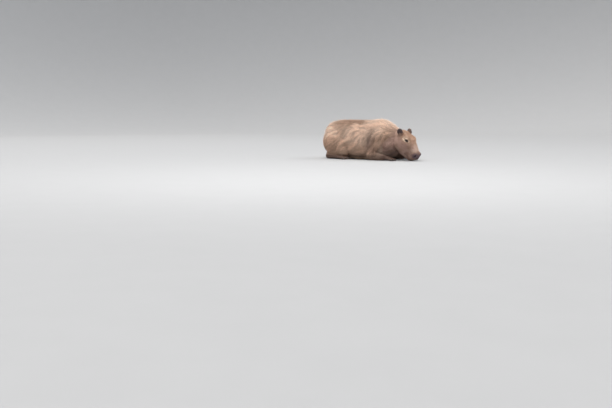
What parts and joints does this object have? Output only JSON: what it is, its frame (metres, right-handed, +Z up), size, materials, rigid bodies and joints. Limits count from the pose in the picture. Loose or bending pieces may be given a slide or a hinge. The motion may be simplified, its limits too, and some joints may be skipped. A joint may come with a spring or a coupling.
{
  "type": "capybara",
  "caption": "Life-size capybara lying on its belly with legs folded and chin on the floor, long coarse coat as overlapping locks.",
  "frame": {"origin": "on the floor, under the middle of the outline's footprint", "axes": "+X towards the nose, +Y towards the animal's left, +Z up"},
  "size_m": [0.9684, 0.4736, 0.3412],
  "materials": {
    "coat": "coarse matt hair",
    "skin": "matt dark skin",
    "eye": "wet gloss",
    "nail": "dull horn"
  },
  "bodies": {
    "root": {"head": "coat", "lower_jaw": "coat", "neck": "coat", "torso": "coat", "ear_left": "skin", "eye_left": "eye", "thigh_left": "coat", "shank_left": "coat", "hind_foot_left": "coat", "upper_arm_left": "coat", "forearm_left": "coat", "fore_foot_left": "coat", "hind_nail_left_1": "nail", "hind_nail_left_2": "nail", "hind_nail_left_3": "nail", "fore_nail_left_1": "nail", "fore_nail_left_2": "nail", "fore_nail_left_3": "nail", "fore_nail_left_4": "nail", "ear_right": "skin", "eye_right": "eye", "thigh_right": "coat", "shank_right": "coat", "hind_foot_right": "coat", "upper_arm_right": "coat", "forearm_right": "coat", "fore_foot_right": "coat", "hind_nail_right_1": "nail", "hind_nail_right_2": "nail", "hind_nail_right_3": "nail", "fore_nail_right_1": "nail", "fore_nail_right_2": "nail", "fore_nail_right_3": "nail", "fore_nail_right_4": "nail"}
  },
  "joints": []
}
